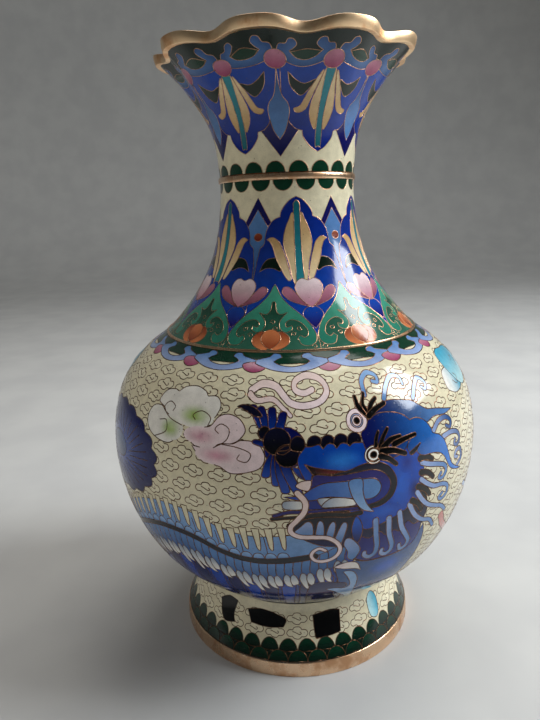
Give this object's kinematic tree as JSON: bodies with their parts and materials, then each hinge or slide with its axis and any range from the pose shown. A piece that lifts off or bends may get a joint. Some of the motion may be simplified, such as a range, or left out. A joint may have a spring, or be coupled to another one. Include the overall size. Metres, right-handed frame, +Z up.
{
  "type": "cloisonne vase",
  "caption": "Pear-bellied cloisonne vase with a flaring foliate mouth, gilt bands, enamelled dragon and clouds, and a spreading foot.",
  "frame": {"origin": "centre of the foot's resting face", "axes": "+Z up along the vase's axis to the mouth, -Y towards the front, where the dragon's head is, +X to the viewer's right"},
  "size_m": [0.1468, 0.1468, 0.23],
  "materials": {
    "gilt_band": "polished, lightly brushed round the vase",
    "cloison_wire": "gilt, polished flush with the enamel",
    "copper_shell": "hammered copper, annealed",
    "cloison_enamel": "glossy, polished flush with the wires",
    "counter_enamel": "fire-polished, slightly pitted"
  },
  "bodies": {
    "root": {"foot_band": "gilt_band", "foot_enamel": "cloison_enamel", "foot_shell": "copper_shell", "foot_lining": "counter_enamel", "base_enamel": "counter_enamel", "belly_enamel": "cloison_enamel", "belly_lower_shell": "copper_shell", "belly_upper_shell": "copper_shell", "belly_lining": "counter_enamel", "shoulder_wire": "cloison_wire", "neck_enamel": "cloison_enamel", "neck_shell": "copper_shell", "neck_lining": "counter_enamel", "neck_band": "gilt_band", "mouth_enamel": "cloison_enamel", "mouth_shell": "copper_shell", "mouth_lining": "counter_enamel", "rim_band": "gilt_band"}
  },
  "joints": []
}
